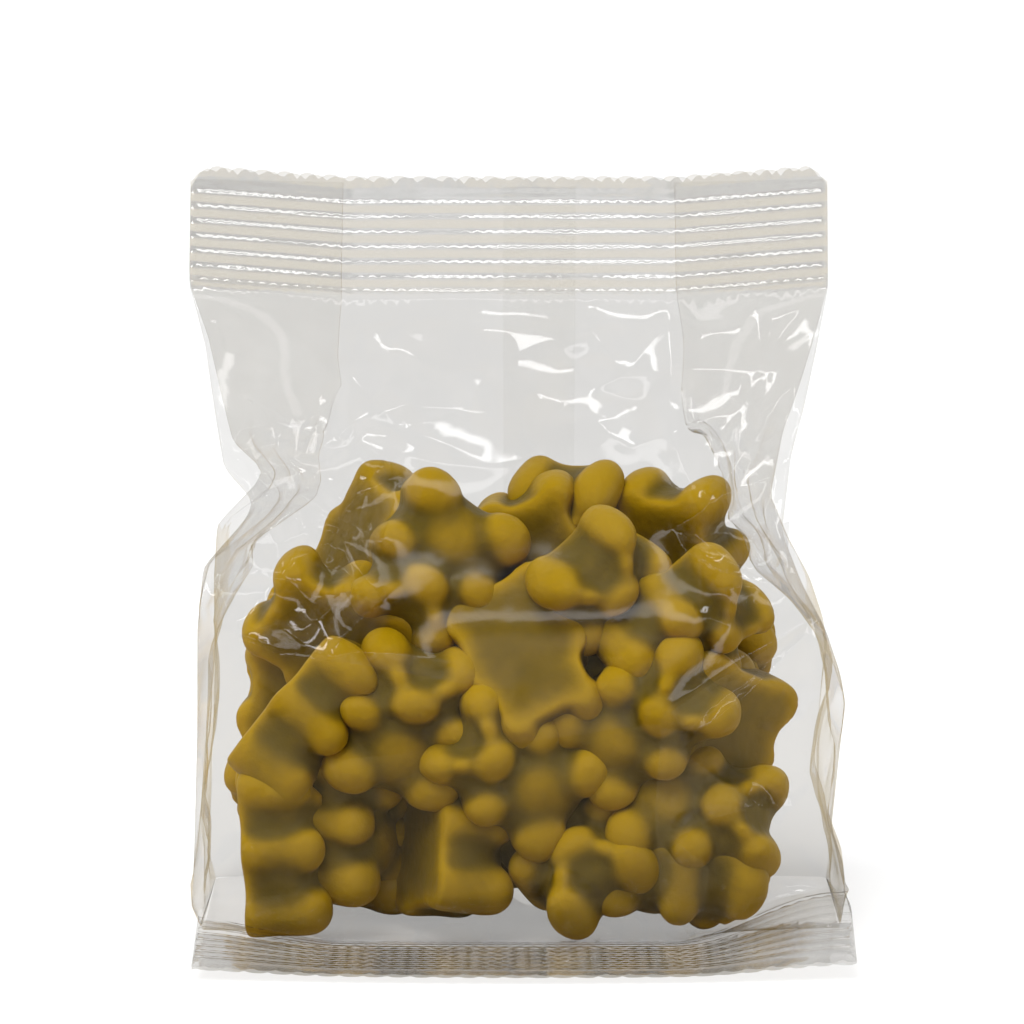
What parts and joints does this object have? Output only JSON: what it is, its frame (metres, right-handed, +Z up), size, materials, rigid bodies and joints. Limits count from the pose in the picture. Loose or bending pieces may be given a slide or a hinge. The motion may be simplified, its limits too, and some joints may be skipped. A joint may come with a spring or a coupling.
{
  "type": "bag of gummy bears",
  "caption": "Small clear gusseted bag with ribbed, serrated seals, standing on its flat base and half filled with bear-shaped gummies.",
  "frame": {"origin": "centre of the footprint, on the surface that the bag stands on", "axes": "+Z up, the front of the bag and its folded bottom seal face -Y, +X to the right seen from the front"},
  "size_m": [0.0904, 0.063, 0.1034],
  "materials": {
    "clear_film": "clear glossy film",
    "gummy": "satin mustard olive gum with a light coat of oil"
  },
  "bodies": {
    "root": {"bag": "clear_film"}
  },
  "joints": []
}
